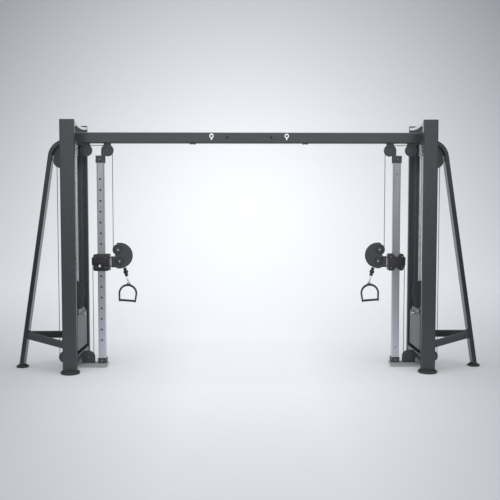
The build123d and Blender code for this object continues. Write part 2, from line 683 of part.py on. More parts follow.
with BuildPart() as index_pin:
    rod_y(COLUMN_X, PIN_Z, PIN_R, -CAR_D / 2 - PIN_SHANK, -COLUMN_D / 2 - 3 * FIT_GAP)
    rod_y(COLUMN_X, PIN_Z, PIN_COLLAR_R, -CAR_D / 2 - PIN_COLLAR_END, -CAR_D / 2 - PIN_SHANK + 2)
    rod_y(COLUMN_X, PIN_Z, PIN_KNOB_R, -CAR_D / 2 - PIN_KNOB_END, -CAR_D / 2 - PIN_COLLAR_END)
    fillet(index_pin.edges().group_by(Axis.Y)[0], 5)
save_towers(index_pin.part, "index_pin")

# ---- Swivel ---------------------------------------------------------------------

EAR_GAP = EAR_T / 2 + 2 * FIT_GAP
WEB_X = HINGE_X + HINGE_R + FIT_GAP
with BuildPart() as swivel_mount:
    low = BARREL_Z[0]
    for high, next_low in ((EAR_Z[0] - EAR_GAP, EAR_Z[0] + EAR_GAP),
                           (EAR_Z[1] - EAR_GAP, EAR_Z[1] + EAR_GAP), (BARREL_Z[1], 0)):
        rod_z(HINGE_X, 0, HINGE_R, low, high)
        block((HINGE_X, WEB_X + 1), (-BARREL_HALF, BARREL_HALF), (low, high))
        low = next_low
    block((WEB_X, WEB_X + WEB_T), (-CHEEK_IN, CHEEK_IN), BARREL_Z)
    rod_z(HINGE_X, 0, HINGE_PIN_R + BORE_GAP, BARREL_Z[0], BARREL_Z[1], mode=Mode.SUBTRACT)
save_towers(swivel_mount.part, "swivel_mount")

with BuildPart() as swivel_cheeks:
    for y in CHEEK_YS:
        with BuildSketch(front_plane(y)) as outline:
            with Locations((HOUSING_X, HOUSING_Z)):
                Circle(HOUSING_R)
            with Locations((HOUSING_CUT_X - HOUSING_R, HOUSING_Z)):
                Rectangle(2 * HOUSING_R, 2.5 * HOUSING_R, mode=Mode.SUBTRACT)
            with Locations((UP_X, UP_Z)):
                Circle(UP_LOBE_R)
            with Locations((DOWN_X, DOWN_Z)):
                Circle(DOWN_LOBE_R)
            with Locations((HOUSING_X, HOUSING_Z)):
                Rectangle(2 * (HOUSING_X - WEB_X), 110)
            with Locations((WEB_X - 50, DOWN_Z - 60)):
                Rectangle(100, 220, mode=Mode.SUBTRACT)
        extrude(outline.sketch, amount=CHEEK_T)
    for x, z in ((UP_X, UP_Z), (DOWN_X, DOWN_Z)):
        rod_y(x, z, AXLE_R, -CHEEK_OUT, CHEEK_OUT)
        rod_y(x, z, BOLT_HEAD_R, -CHEEK_OUT - SWIVEL_BOLT_T, -CHEEK_OUT)
        rod_y(x, z, BOLT_HEAD_R, CHEEK_OUT, CHEEK_OUT + SWIVEL_BOLT_T)
save_towers(swivel_cheeks.part, "swivel_cheeks")
save_towers(sheave(UP_X, UP_Z, PITCH_R), "swivel_upper_sheave")
save_towers(sheave(DOWN_X, DOWN_Z, DOWN_R), "swivel_lower_sheave")

# ---- Cables ---------------------------------------------------------------------


def on_circle(x, z, radius, degrees):
    """A point on a pulley's cable circle; 0 degrees points along +X and 90 points up."""
    a = math.radians(degrees)
    return (x + radius * math.cos(a), 0, z + radius * math.sin(a))


def wrap(x, z, radius, start, end):
    """The arc of cable round a pulley between two angles."""
    return ThreePointArc(on_circle(x, z, radius, start), on_circle(x, z, radius, (start + end) / 2),
                         on_circle(x, z, radius, end))


def run_cable(turns, first, last):
    """Straight runs joining the pulley wraps in order, from the first point to the last."""
    at = first
    for x, z, radius, start, end in turns:
        Line(at, on_circle(x, z, radius, start))
        wrap(x, z, radius, start, end)
        at = on_circle(x, z, radius, end)
    if last:
        Line(at, last)


def swept(path):
    """Sweep the round cable along a path, and print its length in millimetres."""
    wire = path.wire()
    with BuildPart() as rope:
        with BuildSketch(Plane(origin=wire @ 0, z_dir=wire % 0)) as section:
            Circle(CABLE_R)
        sweep(section.sketch, path=wire)
    print("cable length", round(wire.length))
    return rope.part


ANCHOR_X = LOW_X + PITCH_R
with BuildLine() as long_path:
    run_cable([(B_X, TOP_Z, PITCH_R, 0, 90), (A_X, TOP_Z, PITCH_R, 90, 180),
               (LIFT_X, LIFT_Z, LIFT_R, 360, 180), (O_X, O_Z, PITCH_R, 0, 180),
               (OUT_X, OUT_Z, PITCH_R, 180, 270), (LOW_X, LOW_Z, PITCH_R, 270, 360)],
              (B_X + PITCH_R, 0, UP_Z), (ANCHOR_X, 0, ANCHOR_Z - GROOVE_GAP))
cable_left = swept(long_path)
save(Part() + [cable_left, cable_left.rotate(Axis.Z, 180)], "cables")

SPAN = math.hypot(DOWN_X - UP_X, DOWN_Z - UP_Z)
TOWARDS = math.degrees(math.atan2(DOWN_Z - UP_Z, DOWN_X - UP_X)) + 360
LEAVE = TOWARDS - math.degrees(math.acos((PITCH_R + DOWN_R) / SPAN))
LINE_START = Vector(*on_circle(DOWN_X, DOWN_Z, DOWN_R, TILT))
LINE_DIR = Vector(math.sin(math.radians(TILT)), 0, -math.cos(math.radians(TILT)))
with BuildLine() as short_path:
    wrap(UP_X, UP_Z, PITCH_R, 180, LEAVE)
    Line(on_circle(UP_X, UP_Z, PITCH_R, LEAVE), on_circle(DOWN_X, DOWN_Z, DOWN_R, LEAVE - 180))
    wrap(DOWN_X, DOWN_Z, DOWN_R, LEAVE - 180, TILT)
    Line(LINE_START, LINE_START + LINE_DIR * (SLEEVE_AT - GROOVE_GAP))
save_towers(swept(short_path), "swivel_cable")

# ---- Handle ---------------------------------------------------------------------
# Drawn hanging straight down below the point where the cable leaves the lower pulley,
# then tilted: the cable end about that point, the handle about the link it hangs from.

HANG_X = LINE_START.X
HANG_Z = LINE_START.Z
BALL_Z = HANG_Z - BALL_AT
SHACKLE_Z = HANG_Z - SHACKLE_AT
LINK_Z = HANG_Z - LINK_AT

with BuildPart() as cable_end:
    with BuildSketch(Plane(origin=(HANG_X, 0, BALL_Z), x_dir=(1, 0, 0), z_dir=(0, -1, 0))):
        Circle(BALL_R)
        with Locations((SLEEVE_R / 2, (BALL_AT - SLEEVE_AT) / 2)):
            Rectangle(SLEEVE_R, BALL_AT - SLEEVE_AT)
        with Locations((NECK_R / 2, (BALL_AT - SHACKLE_AT) / 2)):
            Rectangle(NECK_R, SHACKLE_AT - BALL_AT)
        with Locations((-BALL_R, 0)):
            Rectangle(2 * BALL_R, 4 * BALL_R, mode=Mode.SUBTRACT)
    revolve(axis=Axis((HANG_X, 0, BALL_Z), (0, 0, 1)))
    strap_x = (HANG_X - STRAP_W / 2, HANG_X + STRAP_W / 2)
    strap_out = STRAP_Y + STRAP_T
    block(strap_x, (-strap_out, strap_out), (SHACKLE_Z - STRAP_T, SHACKLE_Z + STRAP_T))
    for y in (-strap_out, STRAP_Y):
        block(strap_x, (y, y + STRAP_T), (LINK_Z, SHACKLE_Z))
        rod_y(HANG_X, LINK_Z, STRAP_W / 2, y, y + STRAP_T)
    rod_y(HANG_X, LINK_Z, LINK_PIN_R, -strap_out - 2, strap_out + 2)
hang_axis = Axis((HANG_X, 0, HANG_Z), (0, 1, 0))
save_towers(cable_end.part.rotate(hang_axis, -TILT), "cable_end")

ARCH_Z = LINK_Z - LUG_DROP - ARCH_R
GRIP_Z = ARCH_Z - GRIP_DROP
FRAME_LOW = GRIP_Z - 12
link_axis = Axis((HANG_X, 0, LINK_Z), (0, 1, 0))
swing_to = LINE_START + LINE_DIR * LINK_AT - Vector(HANG_X, 0, LINK_Z)


def hung(part):
    """Tilt a piece of the handle about the link pin, and move it to where the pin hangs."""
    return part.rotate(link_axis, -HANDLE_TILT).translate(swing_to)


with BuildPart() as handle_frame:
    with BuildSketch(front_plane(HANDLE_D / 2)):
        for radius, mode in ((ARCH_R, Mode.ADD), (ARCH_R - BAR_T, Mode.SUBTRACT)):
            foot = radius - HANDLE_TAPER
            with BuildLine():
                Line((HANG_X - foot, FRAME_LOW), (HANG_X - radius, ARCH_Z))
                ThreePointArc((HANG_X - radius, ARCH_Z), (HANG_X, ARCH_Z + radius),
                              (HANG_X + radius, ARCH_Z))
                Line((HANG_X + radius, ARCH_Z), (HANG_X + foot, FRAME_LOW))
                Line((HANG_X + foot, FRAME_LOW), (HANG_X - foot, FRAME_LOW))
            make_face(mode=mode)
    extrude(amount=HANDLE_D)
    lug_base_z = ARCH_Z + ARCH_R - BAR_T / 2
    with BuildSketch(front_plane(LUG_Y)):
        with BuildLine():
            Polyline((HANG_X - LUG_BASE, lug_base_z), (HANG_X + LUG_BASE, lug_base_z),
                     (HANG_X + LUG_R, LINK_Z), (HANG_X - LUG_R, LINK_Z), close=True)
        make_face()
        with Locations((HANG_X, LINK_Z)):
            Circle(LUG_R)
    extrude(amount=2 * LUG_Y)
    rod_y(HANG_X, LINK_Z, LINK_PIN_R + BORE_GAP, -LUG_Y, LUG_Y, mode=Mode.SUBTRACT)
    with BuildSketch(Plane.YZ.offset(HANG_X - ARCH_R + BAR_T)):
        with Locations((0, GRIP_Z)):
            Circle(GRIP_ROD_R)
    extrude(amount=2 * (ARCH_R - BAR_T))
save_towers(hung(handle_frame.part), "handle_frame")

GRIP_HALF = ARCH_R - BAR_T - HANDLE_TAPER - 2
with BuildPart() as handle_grip:
    with BuildSketch(Plane.YZ.offset(HANG_X - GRIP_HALF)):
        with Locations((0, GRIP_Z)):
            Circle(GRIP_R)
            Circle(GRIP_ROD_R + BORE_GAP, mode=Mode.SUBTRACT)
    extrude(amount=2 * GRIP_HALF)
save_towers(hung(handle_grip.part), "handle_grip")
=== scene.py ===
import json
import math

import bmesh
import bpy
from mathutils import Matrix, Vector


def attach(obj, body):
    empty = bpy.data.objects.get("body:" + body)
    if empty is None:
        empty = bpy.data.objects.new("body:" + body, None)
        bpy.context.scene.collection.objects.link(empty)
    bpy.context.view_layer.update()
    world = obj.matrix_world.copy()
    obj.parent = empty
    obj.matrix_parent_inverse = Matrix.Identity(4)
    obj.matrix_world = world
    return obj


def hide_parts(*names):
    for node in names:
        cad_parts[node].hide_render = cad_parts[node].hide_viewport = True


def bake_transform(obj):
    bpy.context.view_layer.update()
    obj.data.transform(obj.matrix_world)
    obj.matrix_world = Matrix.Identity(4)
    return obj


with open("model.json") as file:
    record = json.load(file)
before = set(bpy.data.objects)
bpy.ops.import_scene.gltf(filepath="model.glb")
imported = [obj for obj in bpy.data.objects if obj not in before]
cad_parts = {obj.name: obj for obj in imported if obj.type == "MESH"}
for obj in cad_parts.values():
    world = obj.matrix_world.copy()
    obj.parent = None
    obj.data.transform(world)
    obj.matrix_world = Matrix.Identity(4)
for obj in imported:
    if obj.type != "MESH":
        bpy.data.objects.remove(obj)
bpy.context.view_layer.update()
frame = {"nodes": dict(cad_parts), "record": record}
NODES = frame["nodes"]
SIDES = ("left", "right")
HALF_TURN = Matrix.Rotation(math.pi, 4, "Z")
ACROSS = Vector((0, 1, 0))

# ---- Camera ---------------------------------------------------------------------
# Standing about seven metres in front, a little left of centre, looking slightly down.

CAMERA_AT = (-0.0927, -6.979, 1.5201)
CAMERA_DOWN = 0.0585
CAMERA_RIGHT = 0.0145
LENS = 53.28

camera_data = bpy.data.cameras.new("camera")
camera_data.sensor_fit = "HORIZONTAL"
camera_data.sensor_width = 36.0
camera_data.lens = LENS
camera = bpy.data.objects.new("camera", camera_data)
camera.location = CAMERA_AT
camera.rotation_euler = (math.pi / 2 - CAMERA_DOWN, 0, -CAMERA_RIGHT)
bpy.context.collection.objects.link(camera)
bpy.context.scene.camera = camera
bpy.context.scene.view_settings.view_transform = "Standard"

# ---- Materials ------------------------------------------------------------------


class Shader:
    """A node material under construction, with short calls for the usual nodes."""

    def __init__(self, name):
        self.material = bpy.data.materials.new(name)
        self.material.use_nodes = True
        self.tree = self.material.node_tree
        self.bsdf = self.tree.nodes["Principled BSDF"]
        coords = self.tree.nodes.new("ShaderNodeTexCoord")
        self.place = coords.outputs["Object"]

    def set(self, **values):
        for key, value in values.items():
            self.bsdf.inputs[key.replace("_", " ")].default_value = value
        return self

    def node(self, kind, inputs=(), **settings):
        made = self.tree.nodes.new(kind)
        for key, value in settings.items():
            setattr(made, key, value)
        for key, value in dict(inputs).items():
            if isinstance(value, bpy.types.NodeSocket):
                self.tree.links.new(value, made.inputs[key])
            else:
                made.inputs[key].default_value = value
        return made

    def noise(self, scale, detail=3.0, stretch=(1, 1, 1), rough=0.5):
        mapped = self.node("ShaderNodeMapping", {"Vector": self.place, "Scale": stretch})
        made = self.node("ShaderNodeTexNoise", {"Vector": mapped.outputs[0], "Scale": scale,
                                                "Detail": detail, "Roughness": rough})
        return made.outputs["Fac"]

    def span(self, value, low, high, start=0.3, end=0.7):
        made = self.node("ShaderNodeMapRange", {"Value": value, "From Min": start,
                                                "From Max": end, "To Min": low, "To Max": high})
        return made.outputs["Result"]

    def mix(self, factor, first, second):
        made = self.node("ShaderNodeMix", data_type="RGBA")
        self.tree.links.new(factor, made.inputs[0])
        for socket, value in ((made.inputs[6], first), (made.inputs[7], second)):
            if isinstance(value, bpy.types.NodeSocket):
                self.tree.links.new(value, socket)
            else:
                socket.default_value = (*value, 1)
        return made.outputs[2]

    def color(self, socket):
        self.tree.links.new(socket, self.bsdf.inputs["Base Color"])
        return self

    def rough(self, socket):
        self.tree.links.new(socket, self.bsdf.inputs["Roughness"])
        return self

    def bump(self, height, strength, distance):
        made = self.node("ShaderNodeBump", {"Height": height, "Strength": strength,
                                            "Distance": distance})
        self.tree.links.new(made.outputs[0], self.bsdf.inputs["Normal"])
        return self


def edge_factor(shader):
    """Zero on flat faces and one along sharp outer edges, for rubbed paint."""
    pointy = shader.node("ShaderNodeNewGeometry").outputs["Pointiness"]
    return shader.span(pointy, 0.0, 1.0, start=0.52, end=0.62)


WORN_TINT = 1.3


def powder_coat(name, dark, light, roughness=0.42):
    """Charcoal powder coat: fine orange-peel, slow tone drift, faint rub marks on edges."""
    s = Shader(name)
    drift = s.noise(1.6)
    fine = s.noise(900.0, 2.0)
    scuff = s.noise(30.0, 5.0, rough=0.6)
    tone = s.mix(s.span(drift, 0, 1), dark, light)
    worn = s.node("ShaderNodeMath", {0: edge_factor(s), 1: s.span(scuff, 0, 0.5, 0.5, 0.75)},
                  operation="MULTIPLY").outputs[0]
    s.color(s.mix(worn, tone, tuple(c * WORN_TINT for c in light)))
    s.rough(s.span(drift, roughness - 0.03, roughness + 0.05))
    s.bump(fine, 0.1, 0.0003)
    s.set(Metallic=0.0, IOR=1.5)
    return s.material


def silver_tube(name):
    """Satin silver column: lines drawn along it, a slow drift of tone, and a paler lower half."""
    s = Shader(name)
    lines = s.noise(220.0, stretch=(1, 1, 0.01))
    drift = s.noise(4.0, 4.0, (1, 1, 0.3))
    height = s.node("ShaderNodeSeparateXYZ", {0: s.place}).outputs["Z"]
    upper = s.mix(s.span(drift, 0, 1), (0.29, 0.29, 0.31), (0.36, 0.36, 0.38))
    s.color(s.mix(s.span(height, 1, 0, 0.2, 1.0), upper, (0.56, 0.56, 0.63)))
    s.rough(s.span(lines, 0.3, 0.44))
    s.bump(lines, 0.05, 0.0002)
    s.set(Metallic=0.85)
    return s.material


def chrome(name, tint=(0.78, 0.79, 0.8), base_rough=0.12):
    """Polished chrome with faint polishing lines and finger haze."""
    s = Shader(name)
    haze = s.noise(14.0, 5.0)
    lines = s.noise(300.0, 2.0, (1, 1, 0.05))
    s.color(s.mix(s.span(haze, 0, 1), tuple(c * 0.86 for c in tint), tint))
    s.rough(s.span(haze, base_rough, base_rough + 0.12))
    s.bump(lines, 0.01, 0.0001)
    s.set(Metallic=1.0)
    return s.material


def moulded(name, dark, light, roughness=0.55, grain=700.0, depth=0.0004):
    """Moulded plastic or rubber: fine grain with a slow tone and gloss drift."""
    s = Shader(name)
    drift = s.noise(9.0, 4.0)
    fine = s.noise(grain, 2.0)
    s.color(s.mix(s.span(drift, 0, 1), dark, light))
    s.rough(s.span(drift, roughness - 0.07, roughness + 0.09))
    s.bump(fine, 0.25, depth)
    return s.material


def cable_coat(name):
    """Plastic-coated steel cable: the strands show as slanting ridges under the coat."""
    s = Shader(name)
    twist = s.node("ShaderNodeTexWave", {"Vector": s.place, "Scale": 60.0, "Distortion": 1.0},
                   bands_direction="DIAGONAL").outputs["Fac"]
    drift = s.noise(30.0)
    s.color(s.mix(s.span(drift, 0, 1), (0.06, 0.06, 0.066), (0.095, 0.095, 0.1)))
    s.rough(s.span(drift, 0.3, 0.42))
    s.bump(twist, 0.15, 0.0004)
    return s.material


def enamel(name, dark, light, rubbed):
    """Enamel of plates and screws, mottled and slightly rubbed at the edges."""
    s = Shader(name)
    mottle = s.noise(40.0, 6.0, rough=0.65)
    fine = s.noise(500.0)
    tone = s.mix(s.span(mottle, 0, 1), dark, light)
    s.color(s.mix(edge_factor(s), tone, rubbed))
    s.rough(s.span(mottle, 0.4, 0.55))
    s.bump(fine, 0.15, 0.0005)
    return s.material


PAINT = powder_coat("charcoal_paint", (0.044, 0.0455, 0.052), (0.050, 0.0515, 0.059), 0.34)
COVER = powder_coat("cover_paint", (0.045, 0.046, 0.052), (0.058, 0.059, 0.066), 0.46)
SILVER = silver_tube("silver_column")
CHROME = chrome("chrome_plate", base_rough=0.2)
TRIM = chrome("light_trim", (0.86, 0.865, 0.88), 0.3)
IRON = enamel("plate_enamel", (0.15, 0.152, 0.158), (0.2, 0.202, 0.21), (0.34, 0.34, 0.35))
STACK = enamel("stack_enamel", (0.052, 0.057, 0.057), (0.068, 0.073, 0.073), (0.12, 0.125, 0.125))
LEG = powder_coat("leg_paint", (0.022, 0.023, 0.028), (0.028, 0.029, 0.035), 0.2)
GROOVE = moulded("groove_black", (0.008, 0.008, 0.009), (0.013, 0.013, 0.014), 0.6, 400.0, 0.0005)
RUBBER = moulded("black_rubber", (0.022, 0.022, 0.024), (0.034, 0.034, 0.036), 0.72, 400.0, 0.0007)
PLASTIC = moulded("black_plastic", (0.028, 0.028, 0.032), (0.042, 0.042, 0.046), 0.48)
MATT = moulded("carriage_casting", (0.014, 0.014, 0.016), (0.021, 0.021, 0.024), 0.45, 500.0, 0.0005)
NYLON = moulded("sheave_nylon", (0.05, 0.05, 0.054), (0.07, 0.07, 0.074), 0.4)
CABLE = cable_coat("cable_coat")

SLOT_MATERIAL = {"frame_paint": PAINT, "cover_paint": COVER, "column_silver": SILVER,
                 "chrome": CHROME, "light_trim": TRIM, "plate_iron": IRON, "rubber": RUBBER,
                 "black_plastic": PLASTIC, "cable_coat": CABLE}

for row in frame["record"]["subparts"]:
    node = row["node"]
    material = SLOT_MATERIAL[row["material_slot"]]
    if node.endswith("sheave"):
        material = NYLON
    if node == "stabiliser_legs":
        material = LEG
    if node == "resting_plates" or node.endswith("head_plate"):
        material = STACK
    for slot in NODES[node].material_slots:
        slot.material = material

# ---- Measures shared with the CAD, in metres, for the left tower ------------------

CABLE_R = 0.003
PITCH_R = 0.046
TOP_Z = 2.046
OUTER_TOP = (-1.524, TOP_Z)
INNER_TOP = (-1.325, TOP_Z)
BACK_TOP = (-1.750, 1.945)
INNER_LOW = (-1.520, 0.096)
BACK_LOW = (-1.750, 0.096)
LIFT = (-1.637, 0.735)
LIFT_R = 0.067
SWIVEL_UP = (-1.233, 1.115)
SWIVEL_DOWN = (-1.219, 1.007)
DOWN_R = 0.028
ANCHOR_Z = 0.9717
TILT = math.radians(14.0)
COLUMN_X = -1.390
COLUMN_HALF_W = 0.033
COLUMN_HALF_D = 0.030
UPRIGHT_X = -1.634
CHEEK_OUT = 0.016
ROD_Y = 0.065
SHARP_ANGLE = math.radians(32)

# ---- Mesh tools -----------------------------------------------------------------


def arc(center, radius, start, end, steps=24):
    """Points of an arc in the plane across the machine; 0 degrees is +X and 90 is up."""
    angles = [math.radians(start + (end - start) * i / steps) for i in range(steps + 1)]
    return [Vector((center[0] + radius * math.cos(a), 0, center[1] + radius * math.sin(a)))
            for a in angles]


def join_rings(bm, first, second):
    """Faces between two rings of vertices, either of which may be a single point."""
    count = max(len(first), len(second))
    for k in range(count):
        corners = [first[k % len(first)], first[(k + 1) % len(first)],
                   second[(k + 1) % len(second)], second[k % len(second)]]
        bm.faces.new(list(dict.fromkeys(corners)))


def tube(bm, points, radius, sides=12):
    """A round bar along points that lie in an upright plane across the machine."""
    turns = [2 * math.pi * k / sides for k in range(sides)]
    rings = []
    for i, point in enumerate(points):
        ahead = points[min(i + 1, len(points) - 1)] - points[max(i - 1, 0)]
        up = ahead.normalized().cross(ACROSS)
        rings.append([bm.verts.new(point + radius * (math.cos(t) * ACROSS + math.sin(t) * up))
                      for t in turns])
    for first, second in zip(rings, rings[1:]):
        join_rings(bm, first, second)
    bm.faces.new(rings[0])
    bm.faces.new(rings[-1])


def lathe(bm, center, axis, profile, sides=36, loop=False):
    """A turned shape; profile holds (distance along the axis, radius) pairs."""
    axis = Vector(axis).normalized()
    side = axis.orthogonal().normalized()
    other = axis.cross(side)
    rings = []
    for along, radius in profile:
        middle = Vector(center) + axis * along
        turns = [2 * math.pi * k / sides for k in range(sides if radius > 0 else 1)]
        rings.append([bm.verts.new(middle + radius * (math.cos(t) * side + math.sin(t) * other))
                      for t in turns])
    for first, second in zip(rings, rings[1:]):
        join_rings(bm, first, second)
    if loop:
        join_rings(bm, rings[-1], rings[0])
        return
    for ring in (rings[0], rings[-1]):
        if len(ring) > 1:
            bm.faces.new(ring)


def prism(bm, outline, y0, y1, ease):
    """A plate with an outline in X and Z between two depths, its rim eased."""
    near = [bm.verts.new((x, y0, z)) for x, z in outline]
    far = [bm.verts.new((x, y1, z)) for x, z in outline]
    faces = [bm.faces.new(near), bm.faces.new(far)]
    join_rings(bm, near, far)
    rim = [edge for face in faces for edge in face.edges]
    bmesh.ops.bevel(bm, geom=rim, offset=ease, segments=2, profile=0.5, affect="EDGES")


def brick(bm, low, high, ease=0.001):
    """A block between two corners, every edge eased unless ease is 0."""
    made = bmesh.ops.create_cube(bm, size=1)["verts"]
    size = Vector(high) - Vector(low)
    middle = (Vector(high) + Vector(low)) / 2
    for vert in made:
        vert.co = middle + Vector(v * s for v, s in zip(vert.co, size))
    if ease:
        edges = list({edge for vert in made for edge in vert.link_edges})
        bmesh.ops.bevel(bm, geom=edges, offset=ease, segments=2, profile=0.5, affect="EDGES")


def cap_screw(bm, x, y, z, outward, radius, height):
    """A button-head screw with a hexagon socket, standing out of a face along Y."""
    lathe(bm, (x, y, z), (0, outward, 0),
          [(0, radius), (height * 0.4, radius), (height * 0.8, radius * 0.86),
           (height, radius * 0.62), (height, radius * 0.42), (height * 0.45, radius * 0.4),
           (height * 0.45, 0)], sides=24)


def washer(bm, x, y, z, outward, radius, height):
    """A flat washer lying on a face along Y."""
    lathe(bm, (x, y, z), (0, outward, 0),
          [(0, radius), (height * 0.7, radius), (height, radius * 0.93), (height, 0)], sides=32)


def mesh_piece(name, bm, material):
    """Finish a bmesh as a named object, smooth but for its sharp edges."""
    bmesh.ops.recalc_face_normals(bm, faces=bm.faces)
    mesh = bpy.data.meshes.new(name)
    bm.to_mesh(mesh)
    bm.free()
    for face in mesh.polygons:
        face.use_smooth = True
    mesh.set_sharp_from_angle(angle=SHARP_ANGLE)
    mesh.materials.append(material)
    obj = bpy.data.objects.new(name, mesh)
    bpy.context.collection.objects.link(obj)
    return obj


def on_tower(side, body):
    return body if body == "root" else f"{side}_{body}"


def single(name, build, material, stands_for=None):
    """One detail of the shared frame."""
    bm = bmesh.new()
    build(bm)
    obj = mesh_piece(name, bm, material)
    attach(obj, "root")
    if stands_for:
        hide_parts(stands_for)


def pair(name, build, material, body="root", stands_for=None):
    """A detail of each tower: drawn for the left one, and turned half round for the right."""
    for side in SIDES:
        bm = bmesh.new()
        build(bm)
        if side == "right":
            bmesh.ops.transform(bm, matrix=HALF_TURN, verts=bm.verts)
        obj = mesh_piece(f"{side}_{name}", bm, material)
        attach(obj, on_tower(side, body))
        if stands_for:
            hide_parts(stands_for if stands_for in NODES else f"{side}_{stands_for}")


def cable_run(name, start, end):
    """A straight run of cable between two points, for each tower."""
    for side in SIDES:
        bm = bmesh.new()
        tube(bm, [Vector(start), Vector(end)], CABLE_R)
        turn = HALF_TURN if side == "right" else Matrix.Identity(4)
        bmesh.ops.transform(bm, matrix=turn, verts=bm.verts)
        obj = mesh_piece(f"{side}_{name}", bm, CABLE)
        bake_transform(obj)


# ---- Cables ---------------------------------------------------------------------


def top_cable(bm):
    """Over the inner and the outer top wheel."""
    tube(bm, arc(INNER_TOP, PITCH_R, 0, 90) + arc(OUTER_TOP, PITCH_R, 90, 180), CABLE_R)


def back_cable(bm):
    """Over the back top wheel and under the two low wheels. The long side is one straight run."""
    tube(bm, arc(BACK_TOP, PITCH_R, 0, 180, 40) + arc(BACK_LOW, PITCH_R, 180, 270)
         + arc(INNER_LOW, PITCH_R, 270, 360), CABLE_R)


def lift_cable(bm):
    """Under the wheel of the weight stack's lift block."""
    tube(bm, arc(LIFT, LIFT_R, 360, 180, 48), CABLE_R)


# The cable crosses between the swivel's wheels on their inner tangent, which leaves the upper wheel
# at the angle LEAVE. It hangs from LINE_START along LINE_DIR.
STEP_X, STEP_Z = SWIVEL_DOWN[0] - SWIVEL_UP[0], SWIVEL_DOWN[1] - SWIVEL_UP[1]
TOWARDS = math.degrees(math.atan2(STEP_Z, STEP_X)) + 360
LEAVE = TOWARDS - math.degrees(math.acos((PITCH_R + DOWN_R) / math.hypot(STEP_X, STEP_Z)))
LINE_START = arc(SWIVEL_DOWN, DOWN_R, math.degrees(TILT), 90)[0]
LINE_DIR = Vector((math.sin(TILT), 0, -math.cos(TILT)))
SLEEVE_AT, LINK_PIN_AT = 0.074, 0.220
SLEEVE_TOP = LINE_START + LINE_DIR * SLEEVE_AT


def swivel_cable(bm):
    """Round the upper wheel of the swivel and back round the lower one."""
    tube(bm, arc(SWIVEL_UP, PITCH_R, 180, LEAVE)
         + arc(SWIVEL_DOWN, DOWN_R, LEAVE - 180, math.degrees(TILT), 30), CABLE_R)


pair("cable_over_top", top_cable, CABLE, stands_for="cables")
pair("cable_behind_tower", back_cable, CABLE)
pair("cable_round_lift", lift_cable, CABLE, "stack_lift")
pair("cable_in_swivel", swivel_cable, CABLE, "swivel", "swivel_cable")
DROP_X = INNER_TOP[0] + PITCH_R
RISE_X = INNER_LOW[0] + PITCH_R
STACK_IN_X = OUTER_TOP[0] - PITCH_R
STACK_OUT_X = BACK_TOP[0] + PITCH_R
cable_run("cable_drop_run", (DROP_X, 0, TOP_Z), (DROP_X, 0, SWIVEL_UP[1]))
cable_run("cable_rise_run", (RISE_X, 0, INNER_LOW[1]), (RISE_X, 0, ANCHOR_Z))
cable_run("cable_stack_inner_run", (STACK_IN_X, 0, TOP_Z), (STACK_IN_X, 0, LIFT[1]))
cable_run("cable_stack_outer_run", (STACK_OUT_X, 0, BACK_TOP[1]), (STACK_OUT_X, 0, LIFT[1]))
cable_run("cable_pull_run", LINE_START, SLEEVE_TOP)

# ---- Columns and beam -----------------------------------------------------------


# Painted shade inside each column: a dark sheet stands where the unlit inside of the tube would be.
SHADE_SHEET_LOW, SHADE_SHEET_HIGH = 0.056, 1.98
SHADE_SHEET_OUT_Y, SHADE_SHEET_IN_Y = 0.0170, 0.0160
SHADE_SHEET_HALF_W = COLUMN_HALF_W - 0.0034
SHADE_SHEET_WALL = 0.001


def column_shade_sheet(bm):
    """A dark inner wall of painted shade, so that the drilled holes look into an unlit tube."""
    for side in (-1, 1):
        ys = sorted((side * SHADE_SHEET_OUT_Y, side * SHADE_SHEET_IN_Y))
        brick(bm, (COLUMN_X - SHADE_SHEET_HALF_W, ys[0], SHADE_SHEET_LOW),
              (COLUMN_X + SHADE_SHEET_HALF_W, ys[1], SHADE_SHEET_HIGH), 0)
        x = COLUMN_X + side * SHADE_SHEET_HALF_W
        xs = sorted((x, x - side * SHADE_SHEET_WALL))
        brick(bm, (xs[0], -SHADE_SHEET_IN_Y, SHADE_SHEET_LOW), (xs[1], SHADE_SHEET_IN_Y, SHADE_SHEET_HIGH), 0)


HOLE_COUNT = 16
FIRST_HOLE_Z = 0.261
HOLE_PITCH = 0.101


def column_screws(bm):
    """A screw near each end of the column's back."""
    for z in (0.185, 1.822):
        cap_screw(bm, COLUMN_X, COLUMN_HALF_D, z, 1, 0.0055, 0.002)


def hole_rims(bm):
    """The thin dark bush in each adjusting hole, with its lip on the column's face."""
    for index in range(HOLE_COUNT):
        lathe(bm, (COLUMN_X, -COLUMN_HALF_D, FIRST_HOLE_Z + index * HOLE_PITCH), (0, -1, 0),
              [(-0.0028, 0.0079), (0.0, 0.0079), (0.0004, 0.0084), (0.0003, 0.0091),
               (-0.0002, 0.0093), (-0.0028, 0.0082)], sides=32, loop=True)


# Painted shade: the dark sheet inside each column, behind its holes.
pair("column_shade_sheet", column_shade_sheet, RUBBER)
pair("column_screws", column_screws, PLASTIC)
pair("column_hole_rims", hole_rims, PLASTIC)

BEAM_FRONT_Y = -0.040
BEAM_BOTTOM = 2.110
EYE_X, EYE_Z = 0.350, 2.176
STUD_X, STUD_Z = 0.205, 2.163
JOINT_X = 0.527
JOINT_PLATE_T = 0.006


def beam_eye_rings(bm):
    """The bright ring of each eye, with the short tongue under it."""
    for x in (-EYE_X, EYE_X):
        lathe(bm, (x, BEAM_FRONT_Y, EYE_Z), (0, -1, 0),
              [(0.0, 0.0115), (0.007, 0.0115), (0.008, 0.0125), (0.008, 0.0195), (0.0065, 0.021),
               (0.0, 0.021)], sides=48, loop=True)
        brick(bm, (x - 0.0075, BEAM_FRONT_Y - 0.006, 2.137), (x + 0.0075, BEAM_FRONT_Y, 2.160), 0.002)


